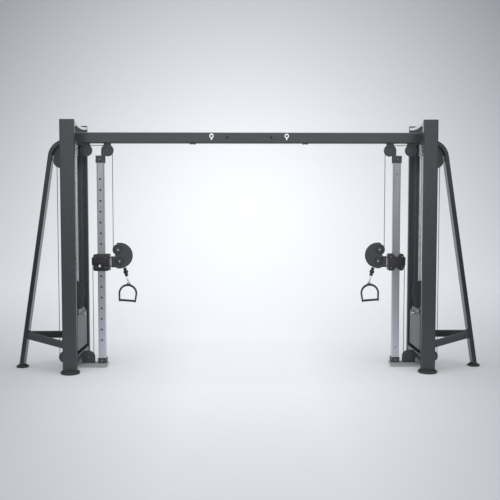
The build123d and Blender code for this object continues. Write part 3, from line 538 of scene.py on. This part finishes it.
def beam_eye_centres(bm):
    """The hollow bolt in the middle of each eye."""
    for x in (-EYE_X, EYE_X):
        lathe(bm, (x, BEAM_FRONT_Y, EYE_Z), (0, -1, 0),
              [(0.0, 0.0112), (0.004, 0.0112), (0.006, 0.009), (0.016, 0.009), (0.016, 0.0055),
               (0.011, 0.005), (0.011, 0)], sides=36)


def beam_studs(bm):
    """Two small dark plugs on the beam's face."""
    for x in (-STUD_X, STUD_X):
        lathe(bm, (x, BEAM_FRONT_Y, STUD_Z), (0, -1, 0),
              [(0.0, 0.0105), (0.0018, 0.0105), (0.003, 0.0092), (0.003, 0.0068), (0.0006, 0.006),
               (0.0006, 0)], sides=36)


def beam_joint_plates(bm):
    """A plate with two bolts under the beam, twice."""
    for x in (-JOINT_X, JOINT_X):
        brick(bm, (x - 0.028, -0.030, BEAM_BOTTOM - JOINT_PLATE_T), (x + 0.028, 0.030, BEAM_BOTTOM), 0.0015)
        for bolt_x in (x - 0.016, x + 0.016):
            lathe(bm, (bolt_x, 0, BEAM_BOTTOM - 0.0055), (0, 0, -1),
                  [(0.0, 0.006), (0.003, 0.006), (0.0042, 0.005), (0.0042, 0)], sides=24)


single("beam_eye_rings", beam_eye_rings, TRIM, "beam_bolts")
single("beam_eye_centres", beam_eye_centres, IRON)
single("beam_studs", beam_studs, GROOVE)
single("beam_joint_plates", beam_joint_plates, PAINT)


RAIL_X, RAIL_TOP = -1.612, 2.210


def rail_bolts(bm):
    """Bright bolt heads on washers along the top of each tower's rail."""
    for y in (-0.190, -0.105, 0.105, 0.190):
        lathe(bm, (RAIL_X, y, RAIL_TOP), (0, 0, 1),
              [(0.0, 0.013), (0.0022, 0.0128), (0.0022, 0.0)], sides=28)
        lathe(bm, (RAIL_X, y, RAIL_TOP + 0.002), (0, 0, 1),
              [(0.0, 0.0092), (0.007, 0.0092), (0.0085, 0.0075), (0.0085, 0.0045), (0.004, 0.004),
               (0.004, 0)], sides=6)


pair("rail_bolts", rail_bolts, CHROME)

# ---- Pulley bolts, rod collars, clamp bolts -----------------------------------------

PULLEYS = (OUTER_TOP, INNER_TOP, BACK_TOP, INNER_LOW, BACK_LOW)


def pulley_washers(bm):
    """A washer on each side of every fixed pulley."""
    for x, z in PULLEYS:
        for outward in (-1, 1):
            washer(bm, x, outward * CHEEK_OUT, z, outward, 0.0105, 0.0016)


def pulley_heads(bm):
    """A screw head on each of those washers."""
    for x, z in PULLEYS:
        for outward in (-1, 1):
            cap_screw(bm, x, outward * (CHEEK_OUT + 0.0015), z, outward, 0.0055, 0.0045)


ROD_COLLAR_Z = 2.002


def rod_collars(bm):
    """Four turned retaining rings on a sleeve at the top of each guide rod."""
    profile = [(0.0, 0.0135), (0.0, 0.019), (0.003, 0.0205), (0.011, 0.0205), (0.013, 0.0135),
               (0.022, 0.0135), (0.024, 0.0205), (0.036, 0.021), (0.038, 0.0135), (0.047, 0.0135),
               (0.049, 0.0195), (0.062, 0.0205), (0.064, 0.0135), (0.073, 0.0135), (0.075, 0.019),
               (0.092, 0.020), (0.095, 0.014), (0.108, 0.014)]
    for y in (-ROD_Y, ROD_Y):
        lathe(bm, (UPRIGHT_X, y, ROD_COLLAR_Z), (0, 0, 1), profile)


CLAMP_HALF_D = 0.040


def clamp_bolts(bm):
    """Grey screw heads over the clamp bolts of the column's two brackets."""
    for z in (1.959, 0.067):
        for outward in (-1, 1):
            cap_screw(bm, COLUMN_X, outward * CLAMP_HALF_D, z, outward, 0.0072, 0.0056)


pair("pulley_washers", pulley_washers, COVER, stands_for="pulley_bolts")
pair("pulley_bolt_heads", pulley_heads, IRON)
pair("rod_collar_rings", rod_collars, CHROME, stands_for="rod_collars")
pair("clamp_bolt_heads", clamp_bolts, IRON)

# ---- Weight stack ---------------------------------------------------------------

STACK_FACE_X = UPRIGHT_X + 0.055
STACK_LOW = 0.190
PLATE_T = 0.0254
RESTING_PLATES = 12
HEAD_TOP = 0.5602


def stack_tabs(bm):
    """A small pale tab in the middle of each resting plate's inner end."""
    for index in range(RESTING_PLATES):
        z = STACK_LOW + index * PLATE_T
        brick(bm, (STACK_FACE_X - 0.0002, -0.006, z + 0.003),
              (STACK_FACE_X + 0.0008, 0.006, z + 0.022), 0.0003)


def head_fittings(bm):
    """Bright rings round the guide rods on top of the head plate, and two screws in its end."""
    for y in (-ROD_Y, ROD_Y):
        lathe(bm, (UPRIGHT_X, y, HEAD_TOP), (0, 0, 1),
              [(0.0, 0.0128), (0.0, 0.021), (0.004, 0.022), (0.012, 0.022), (0.014, 0.020),
               (0.014, 0.0128)], loop=True)
    for y in (-0.105, 0.105):
        lathe(bm, (UPRIGHT_X + 0.050, y, 0.540), (1, 0, 0),
              [(0.0, 0.0085), (0.004, 0.0085), (0.0055, 0.007), (0.0055, 0.004), (0.002, 0.004),
               (0.002, 0)], sides=24)


pair("stack_tabs", stack_tabs, IRON)
pair("head_fittings", head_fittings, CHROME, "stack_lift")

# ---- Carriage -------------------------------------------------------------------

CAR_OUT_X, CAR_IN_X = -1.459, -1.313
CAR_LOW, CAR_HIGH = 0.918, 1.076
CAR_HALF_D = 0.055
SLAB_IN_Y = 0.0335
RIB_OUT = 0.0035
PIN_Z = 0.968
HINGE_X = -1.280
EAR_R, EAR_HALF_T = 0.017, 0.004


def carriage_front(bm):
    """The cast front: a plate with cut corners, raised bands and a boss for the pin."""
    cut = 0.013
    prism(bm, [(CAR_OUT_X + cut, CAR_LOW), (CAR_IN_X - cut, CAR_LOW), (CAR_IN_X, CAR_LOW + cut),
               (CAR_IN_X, CAR_HIGH - cut), (CAR_IN_X - cut, CAR_HIGH), (CAR_OUT_X + cut, CAR_HIGH),
               (CAR_OUT_X, CAR_HIGH - cut), (CAR_OUT_X, CAR_LOW + cut)],
          -CAR_HALF_D, -SLAB_IN_Y, 0.0025)
    sunk = -CAR_HALF_D + 0.002
    for z in (0.940, 1.034):
        brick(bm, (CAR_OUT_X + 0.016, -CAR_HALF_D - RIB_OUT, z), (CAR_IN_X - 0.016, sunk, z + 0.018), 0.0016)
    for x in (CAR_OUT_X + 0.006, CAR_IN_X - 0.016):
        brick(bm, (x, -CAR_HALF_D - RIB_OUT, 0.950), (x + 0.010, sunk, 1.044), 0.0016)
    lathe(bm, (COLUMN_X, sunk, PIN_Z), (0, -1, 0),
          [(0.0, 0.0245), (0.004, 0.0245), (0.006, 0.023), (0.006, 0.0150), (0.0, 0.0145)],
          sides=48, loop=True)


def carriage_back(bm):
    """The back plate, notched over the column at top and bottom."""
    notch, depth, ease = 0.035, 0.038, 0.006
    lower = [(CAR_OUT_X + 0.020, CAR_LOW), (COLUMN_X - notch, CAR_LOW), (COLUMN_X, CAR_LOW + depth),
             (COLUMN_X + notch, CAR_LOW), (CAR_IN_X - ease, CAR_LOW), (CAR_IN_X, CAR_LOW + ease)]
    upper = [(x, CAR_LOW + CAR_HIGH - z) for x, z in reversed(lower)]
    outer = [(CAR_OUT_X, CAR_HIGH - 0.024), (CAR_OUT_X - 0.012, 1.020), (CAR_OUT_X - 0.012, 0.974),
             (CAR_OUT_X, CAR_LOW + 0.024)]
    prism(bm, lower + upper + outer, SLAB_IN_Y, CAR_HALF_D, 0.0025)


def carriage_sides(bm):
    """The side walls of the sliding block and the lug that the rising cable is tied to."""
    half, low, high = SLAB_IN_Y + 0.002, CAR_LOW + 0.004, CAR_HIGH - 0.004
    brick(bm, (CAR_OUT_X, -half, low), (-1.4248, half, high), 0.003)
    brick(bm, (-1.3552, -half, low), (CAR_IN_X, half, high), 0.003)
    brick(bm, (CAR_OUT_X - 0.023, -0.010, 0.972), (CAR_OUT_X + 0.002, 0.010, 1.044), 0.003)


def carriage_ears(bm):
    """The two hinge ears and the pin through them."""
    for z in (0.961, 1.041):
        tip = [(HINGE_X + EAR_R * math.cos(math.radians(a)), EAR_R * math.sin(math.radians(a)))
               for a in range(-90, 91, 10)]
        outline = [(CAR_IN_X - 0.002, -0.012)] + tip[1:-1] + [(CAR_IN_X - 0.002, 0.012)]
        low = [bm.verts.new((x, y, z - EAR_HALF_T)) for x, y in outline]
        high = [bm.verts.new((x, y, z + EAR_HALF_T)) for x, y in outline]
        faces = [bm.faces.new(low), bm.faces.new(high)]
        join_rings(bm, low, high)
        bmesh.ops.bevel(bm, geom=[e for f in faces for e in f.edges], offset=0.0006, segments=2,
                        profile=0.5, affect="EDGES")
    lathe(bm, (HINGE_X, 0, 0.9485), (0, 0, 1),
          [(0.0, 0), (0.0, 0.0042), (0.001, 0.005), (0.1030, 0.005), (0.1040, 0.0042), (0.1040, 0)],
          sides=24)


def carriage_screws(bm):
    """Four screws in the front plate and four in the back plate."""
    for x in (CAR_OUT_X + 0.026, CAR_IN_X - 0.026):
        for z in (0.949, 1.043):
            cap_screw(bm, x, -CAR_HALF_D - 0.003, z, -1, 0.0048, 0.003)
    for x in (-1.4415, -1.3345):
        for z in (0.945, 1.049):
            cap_screw(bm, x, CAR_HALF_D - 0.0005, z, 1, 0.0055, 0.004)


def carriage_glides(bm):
    """Black plastic bearing strips between the block and the column."""
    for z in (CAR_LOW + 0.002, CAR_HIGH - 0.024):
        brick(bm, (COLUMN_X - 0.030, -SLAB_IN_Y - 0.001, z), (COLUMN_X + 0.030, -0.0306, z + 0.022), 0.0006)
        brick(bm, (-1.4262, -0.028, z), (-1.4236, 0.028, z + 0.022), 0.0006)
        brick(bm, (-1.3564, -0.028, z), (-1.3538, 0.028, z + 0.022), 0.0006)


def knob(bm):
    """The round pull knob of the index pin, with a waist behind its rim."""
    lathe(bm, (COLUMN_X, -CAR_HALF_D, PIN_Z), (0, -1, 0),
          [(0.0185, 0.0108), (0.022, 0.0108), (0.026, 0.0118), (0.030, 0.0165), (0.0335, 0.0172),
           (0.037, 0.0166), (0.0385, 0.0172), (0.042, 0.0166), (0.0445, 0.0148), (0.046, 0.0112),
           (0.0455, 0.0098), (0.0445, 0.0)], sides=48)


def knob_badge(bm):
    """The bright ring set in the knob's face, and the bright pin behind the knob."""
    lathe(bm, (COLUMN_X, -CAR_HALF_D, PIN_Z), (0, -1, 0),
          [(0.0440, 0.0118), (0.0462, 0.0116), (0.0470, 0.0106), (0.0470, 0.0064), (0.0452, 0.0054),
           (0.0452, 0)], sides=40)
    lathe(bm, (COLUMN_X, -CAR_HALF_D, PIN_Z), (0, -1, 0),
          [(-0.0240, 0), (-0.0240, 0.0060), (-0.0225, 0.0069), (0.020, 0.0069), (0.020, 0)], sides=32)


pair("carriage_front", carriage_front, MATT, "carriage_unit", "carriage")
pair("carriage_back", carriage_back, MATT, "carriage_unit")
pair("carriage_sides", carriage_sides, MATT, "carriage_unit")
pair("carriage_ears", carriage_ears, COVER, "carriage_unit")
pair("carriage_screws", carriage_screws, IRON, "carriage_unit")
pair("carriage_glides", carriage_glides, PLASTIC, "carriage_unit")
pair("index_knob_grip", knob, PLASTIC, "index_knob", "index_pin")
pair("index_knob_badge", knob_badge, TRIM, "index_knob")

# ---- Swivel ---------------------------------------------------------------------


SWIVEL_GROOVE_R = 0.035


def swivel_groove_shade(bm):
    """A dark ring round each wheel's bolt, on both cheeks, as painted shade of a recessed groove."""
    for x, z in (SWIVEL_UP, SWIVEL_DOWN):
        for outward in (-1, 1):
            # Painted shade: near-black ring where the groove round the bolt would be in shadow.
            lathe(bm, (x, outward * (CHEEK_OUT - 0.0008), z), (0, outward, 0),
                  [(0.0, SWIVEL_GROOVE_R - 0.0045), (0.0014, SWIVEL_GROOVE_R - 0.0038),
                   (0.0014, SWIVEL_GROOVE_R + 0.0038), (0.0, SWIVEL_GROOVE_R + 0.0045)], sides=56, loop=True)


def swivel_bosses(bm):
    """The domed boss that each wheel's bolt sits on."""
    for x, z in (SWIVEL_UP, SWIVEL_DOWN):
        for outward in (-1, 1):
            lathe(bm, (x, outward * (CHEEK_OUT - 0.0006), z), (0, outward, 0),
                  [(0.0, 0.0185), (0.002, 0.0180), (0.0045, 0.0140), (0.0052, 0.0125), (0.0052, 0.0)],
                  sides=40)


def swivel_caps(bm):
    """The bright screw head on each boss."""
    for x, z in (SWIVEL_UP, SWIVEL_DOWN):
        for outward in (-1, 1):
            cap_screw(bm, x, outward * (CHEEK_OUT + 0.0044), z, outward, 0.0068, 0.0040)


# Painted shade: a dark ring for the groove round each swivel bolt.
pair("swivel_groove_shade", swivel_groove_shade, GROOVE, "swivel")
pair("swivel_bosses", swivel_bosses, COVER, "swivel")
pair("swivel_bolt_heads", swivel_caps, TRIM, "swivel")

# ---- Cable end and handle -----------------------------------------------------------
# Both are drawn hanging straight down from the origin, then turned and moved into place.

END_PLACE = Matrix.Translation(LINE_START) @ Matrix.Rotation(-TILT, 4, "Y")
LINK_PIN = LINE_START + LINE_DIR * LINK_PIN_AT
HANDLE_LEAN = math.radians(4.5)
HANDLE_PLACE = Matrix.Translation(LINK_PIN) @ Matrix.Rotation(HANDLE_LEAN, 4, "Y")
BALL_AT, BALL_R = 0.112, 0.0228
BOW_MIDDLE_Z, BOW_R = -0.100, 0.080
BOW_SIDES = 20
SQUARENESS = 0.45
GRIP_Z = -0.167
GRIP_RINGS, RING_PITCH = 28, 0.0040


def rubber_end(bm):
    """The stop sleeve, the ball and the neck, in one moulding."""
    ball = [(BALL_AT - BALL_R * math.cos(math.radians(a)), BALL_R * math.sin(math.radians(a)))
            for a in range(54, 139, 7)]
    lathe(bm, (0, 0, 0), (0, 0, -1),
          [(0.0725, 0.0034), (0.0730, 0.0120), (0.0750, 0.0155), (0.0800, 0.0165), (0.0890, 0.0165),
           (0.0920, 0.0115), (0.0950, 0.0115), (0.0965, 0.0150)] + ball +
          [(0.1290, 0.0118), (0.1320, 0.0112), (0.1345, 0.0158), (0.1500, 0.0158), (0.1530, 0.0122),
           (0.1550, 0.0)], sides=40)
    bmesh.ops.transform(bm, matrix=END_PLACE, verts=bm.verts)


def shackle(bm):
    """The bright shackle: two straps, the crown between them and the pin with domed ends."""
    for y in (-0.013, 0.007):
        brick(bm, (-0.006, y, -0.2215), (0.006, y + 0.006, -0.150), 0.002)
        lathe(bm, (0, y, -LINK_PIN_AT), (0, 1, 0),
              [(0.0, 0), (0.0, 0.0070), (0.0010, 0.0082), (0.0050, 0.0082), (0.0060, 0.0070), (0.0060, 0)])
    brick(bm, (-0.006, -0.013, -0.160), (0.006, 0.013, -0.149), 0.0025)
    lathe(bm, (0, -0.0155, -LINK_PIN_AT), (0, 1, 0),
          [(0.0, 0), (0.0, 0.0030), (0.0010, 0.0044), (0.0300, 0.0044), (0.0310, 0.0030), (0.0310, 0)],
          sides=24)
    bmesh.ops.transform(bm, matrix=END_PLACE, verts=bm.verts)


def handle_bow(bm):
    """The D-shaped bow: a flat bar with rounded edges, stout over the top, lighter down the legs."""
    center = Vector((0, 0, BOW_MIDDLE_Z))
    path = [(Vector((-0.073, 0, -0.1785)), 0.90), (Vector((-0.0765, 0, -0.140)), 0.96)]
    for degrees in range(180, -1, -5):
        a = math.radians(degrees)
        size = 1.02 + 0.30 * math.sin(a) ** 2
        path.append((center + BOW_R * Vector((math.cos(a), 0, math.sin(a))), size))
    path += [(Vector((0.0765, 0, -0.140)), 0.96), (Vector((0.073, 0, -0.1785)), 0.90)]
    rings = []
    for i, (point, size) in enumerate(path):
        ahead = path[min(i + 1, len(path) - 1)][0] - path[max(i - 1, 0)][0]
        out = ahead.normalized().cross(ACROSS)
        ring = []
        for k in range(BOW_SIDES):
            t = 2 * math.pi * (k + 0.5) / BOW_SIDES
            wide = math.copysign(abs(math.cos(t)) ** SQUARENESS, math.cos(t)) * 0.011 * min(1, size + 0.1)
            thick = math.copysign(abs(math.sin(t)) ** SQUARENESS, math.sin(t)) * 0.008 * size
            ring.append(bm.verts.new(point + Vector((0, wide, 0)) + out * thick))
        rings.append(ring)
    for first, second in zip(rings, rings[1:]):
        join_rings(bm, first, second)
    bm.faces.new(rings[0])
    bm.faces.new(rings[-1])
    lug = [(0.010 * math.sin(math.radians(a)), 0.010 * math.cos(math.radians(a)))
           for a in range(-80, 81, 10)]
    prism(bm, [(-0.022, -0.0205)] + lug + [(0.022, -0.0205)], -0.0058, 0.0058, 0.0012)
    bmesh.ops.transform(bm, matrix=HANDLE_PLACE, verts=bm.verts)


def handle_rivets(bm):
    """The rivet through each leg, with its domed head outside and its stem in the grip's end."""
    for side in (-1, 1):
        lathe(bm, (side * 0.0805, 0, GRIP_Z), (side, 0, 0),
              [(-0.0165, 0), (-0.0165, 0.0052), (-0.001, 0.0052), (-0.001, 0.0068), (0.001, 0.0060),
               (0.002, 0.0035), (0.002, 0)], sides=28)
    bmesh.ops.transform(bm, matrix=HANDLE_PLACE, verts=bm.verts)


def grip_sleeve(bm):
    """The hand grip, with fine rings to hold and a plain collar at each end."""
    profile = [(-0.0640, 0.0052), (-0.0640, 0.0098), (-0.0630, 0.0108), (-0.0570, 0.0108), (-0.0560, 0.0100)]
    for ring in range(GRIP_RINGS):
        at = -0.0550 + ring * RING_PITCH
        profile += [(at, 0.0099), (at + 0.0008, 0.0105), (at + 0.0022, 0.0105), (at + 0.0030, 0.0099)]
    profile += [(0.0575, 0.0108), (0.0630, 0.0108), (0.0640, 0.0098), (0.0640, 0.0052)]
    lathe(bm, (0, 0, GRIP_Z), (1, 0, 0), profile, sides=32)
    bmesh.ops.transform(bm, matrix=HANDLE_PLACE, verts=bm.verts)


pair("cable_stop_ball", rubber_end, RUBBER, "line_end", "cable_end")
pair("cable_shackle", shackle, TRIM, "line_end")
pair("handle_bow", handle_bow, PLASTIC, "handle", "handle_frame")
pair("handle_rivets", handle_rivets, IRON, "handle")
pair("grip_sleeve", grip_sleeve, RUBBER, "grip", "handle_grip")

# ---- Stage, lights --------------------------------------------------------------


def stage_material():
    """Pale seamless paper with painted light: it glows at the middle, and painted shade makes it cooler and
    darker further out, at the sides and towards the front.
    """
    s = Shader("studio_paper")
    middle = s.node("ShaderNodeMapping", {"Vector": s.place, "Location": (0, -0.62, -0.25),
                                          "Scale": (0.17, 0.078, 0.165)})
    away = s.node("ShaderNodeVectorMath", {0: middle.outputs[0]}, operation="LENGTH").outputs["Value"]
    # Painted pool of light: the paper is paler near the middle and darker and cooler further out.
    painted_light_pool = s.mix(s.span(away, 0, 1, 0.2, 1.6), (0.82, 0.83, 0.84), (0.42, 0.44, 0.48))
    axes = s.node("ShaderNodeSeparateXYZ", {0: s.place}).outputs
    aside = s.node("ShaderNodeMath", {0: axes["X"]}, operation="ABSOLUTE").outputs[0]
    # Painted shade: darker towards the sides, more so near the front.
    sides = s.node("ShaderNodeMath", {0: s.span(aside, 0, 1, 0.5, 3.0),
                                      1: s.span(axes["Y"], 1, 0, -0.8, 4.4)},
                   operation="MULTIPLY").outputs[0]
    # Painted shade: the floor also darkens towards the front.
    dark = s.node("ShaderNodeMath", {0: sides, 1: s.span(axes["Y"], 0.22, 0, -4.6, -1.0)},
                  operation="ADD", use_clamp=True).outputs[0]
    s.color(s.mix(dark, painted_light_pool, (0.24, 0.25, 0.27)))
    # Painted glow: the paper emits light, brightest at the middle.
    glow = s.span(away, 0.42, 0.0, 0.0, 1.25)
    s.tree.links.new(glow, s.bsdf.inputs["Emission Strength"])
    s.set(Roughness=0.9, Emission_Color=(0.97, 0.985, 1.0, 1))
    return s.material


FLOOR_FRONT_Y, FLOOR_BACK_Y = -14.0, 2.5
COVE_R = 6.5
WALL_TOP = 16.0
STAGE_HALF_W = 16


def backdrop():
    """A floor that rises into a back wall through a wide quarter round."""
    mesh = bpy.data.meshes.new("studio_floor")
    bm = bmesh.new()
    profile = [(FLOOR_FRONT_Y, 0.0), (FLOOR_BACK_Y, 0.0)]
    profile += [(FLOOR_BACK_Y + COVE_R * math.sin(a), COVE_R - COVE_R * math.cos(a))
                for a in [math.radians(3 * i) for i in range(1, 31)]]
    profile += [(FLOOR_BACK_Y + COVE_R, WALL_TOP)]
    rows = [[bm.verts.new((x, y, z)) for y, z in profile] for x in (-STAGE_HALF_W, STAGE_HALF_W)]
    for i in range(len(profile) - 1):
        bm.faces.new((rows[0][i], rows[1][i], rows[1][i + 1], rows[0][i + 1]))
    bm.to_mesh(mesh)
    bm.free()
    for face in mesh.polygons:
        face.use_smooth = True
    obj = bpy.data.objects.new("studio_floor", mesh)
    bpy.context.collection.objects.link(obj)
    mesh.materials.append(stage_material())


backdrop()

world = bpy.data.worlds.new("world")
world.use_nodes = True
sky = world.node_tree.nodes["Background"]
sky.inputs["Color"].default_value = (0.93, 0.95, 1.0, 1)
sky.inputs["Strength"].default_value = 0.55
bpy.context.scene.world = world


def area_light(name, at, look, size, power):
    data = bpy.data.lights.new(name, "AREA")
    data.shape = "RECTANGLE"
    data.size, data.size_y = size
    data.energy = power
    lamp = bpy.data.objects.new(name, data)
    lamp.location = at
    lamp.rotation_euler = (Vector(look) - Vector(at)).to_track_quat("-Z", "Y").to_euler()
    bpy.context.collection.objects.link(lamp)


area_light("overhead", (0, -0.5, 6.5), (0, 0.4, 0), (7, 4), 260)
area_light("front_fill", (0, -8.5, 3.5), (0, 0, 1.2), (8, 4), 150)
